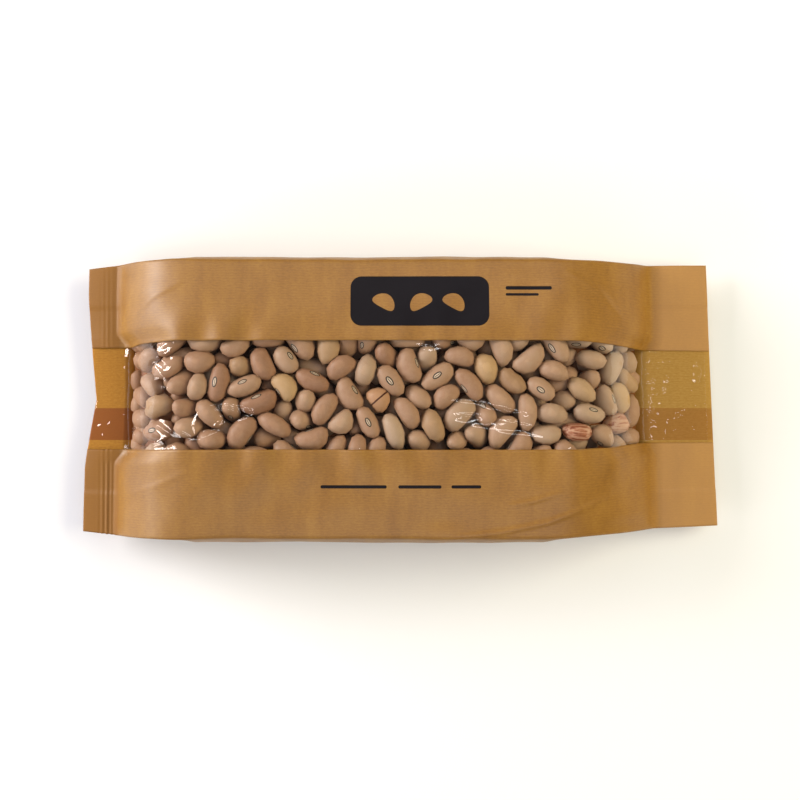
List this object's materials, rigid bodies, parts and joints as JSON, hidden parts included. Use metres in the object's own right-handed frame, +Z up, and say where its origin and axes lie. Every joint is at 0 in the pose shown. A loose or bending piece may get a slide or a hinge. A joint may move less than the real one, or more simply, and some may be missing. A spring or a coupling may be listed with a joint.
{
  "type": "pack of dry beans",
  "caption": "Side-gusseted kraft paper bag lying on its back, heat-sealed flat at both ends, full of pale dry beans that show through a clear film strip down its front",
  "frame": {"origin": "under the middle of the bag, on the surface that its back lies on", "axes": "+X along the bag towards the wider sealed end, +Y across the bag, +Z up out of the front with the film"},
  "size_m": [0.203, 0.0908, 0.0342],
  "materials": {
    "kraft_paper": "machine-glazed brown kraft paper with fine ribs, heat-sealed, with a little dark print",
    "clear_film": "clear glossy polypropylene film, slightly crinkled",
    "dry_beans": "dry beige seed coat, satin, with a dark-ringed scar"
  },
  "bodies": {
    "root": {"kraft_bag": "kraft_paper", "window_film": "clear_film", "bean_heap": "dry_beans"}
  },
  "joints": []
}
